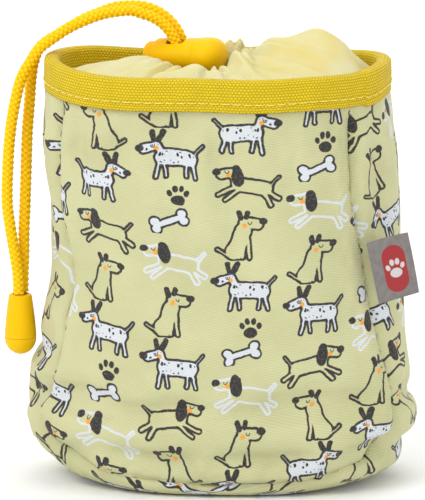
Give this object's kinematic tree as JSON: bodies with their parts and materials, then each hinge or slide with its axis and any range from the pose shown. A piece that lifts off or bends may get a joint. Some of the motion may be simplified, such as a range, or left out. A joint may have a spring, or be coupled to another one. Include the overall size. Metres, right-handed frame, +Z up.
{
  "type": "treat pouch",
  "caption": "Soft standing pouch for treats with a bound rim, a gathered inner collar on a drawcord with a cord lock, a side label and a belt clip.",
  "frame": {"origin": "centre of the pouch's base, on its underside", "axes": "+Z up to the rim, the front panel faces -Y, +X towards the side label"},
  "size_m": [0.1304, 0.0773, 0.1466],
  "materials": {
    "printed_polyester": "pale yellow-green oxford polyester with a line-drawn print",
    "coated_lining": "thin coated polyester",
    "rim_webbing": "yellow plain-weave webbing",
    "thread": "pale yellow sewing thread",
    "sheer_polyester": "thin pale yellow polyester that lets light through",
    "braided_cord": "orange-yellow braided cord",
    "cord_lock_plastic": "satin orange-yellow plastic",
    "woven_label": "grey woven satin",
    "clip_plastic": "black moulded plastic",
    "clip_steel": "plated steel"
  },
  "bodies": {
    "pouch": {"front_panel": "printed_polyester", "gusset_strip": "printed_polyester", "back_panel": "printed_polyester", "lining": "coated_lining", "rim_binding": "rim_webbing", "rim_stitching": "thread", "closure_collar": "sheer_polyester", "collar_hem": "sheer_polyester", "drawcord_hem_loop": "braided_cord", "cord_leg_front": "braided_cord", "cord_leg_rear": "braided_cord", "cord_end_bell": "cord_lock_plastic", "cord_end_cap": "cord_lock_plastic", "cord_end_knot": "braided_cord", "side_label": "woven_label", "clip_webbing_patch": "rim_webbing", "clip_backplate": "clip_plastic", "clip_hinge_pin": "clip_steel", "clip_spring": "clip_steel", "clip_rivet_left": "clip_steel", "clip_rivet_right": "clip_steel"},
    "lock": {"lock_barrel": "cord_lock_plastic", "lock_spring": "clip_steel"},
    "lock_button": {"lock_plunger": "cord_lock_plastic"},
    "lever": {"clip_lever": "clip_plastic"}
  },
  "joints": [
    {"name": "lock_travel", "type": "hinge", "parent": "pouch", "child": "lock", "pos_m": [-0.0263, 0.009, 0.1295], "axis": [0, -1, 0], "range_deg": [0, 50]},
    {"name": "button_press", "type": "slide", "parent": "lock", "child": "lock_button", "axis": [0.9049, -0.4226, 0.0506], "range_m": [0, 0.003], "stiffness_N_per_m": 900, "springref_m": -0.003},
    {"name": "lever_press", "type": "hinge", "parent": "pouch", "child": "lever", "pos_m": [0, 0.0336, 0.103], "axis": [1, 0, 0], "range_deg": [0, 20], "stiffness_Nm_per_rad": 0.12, "springref_deg": -5.73}
  ]
}
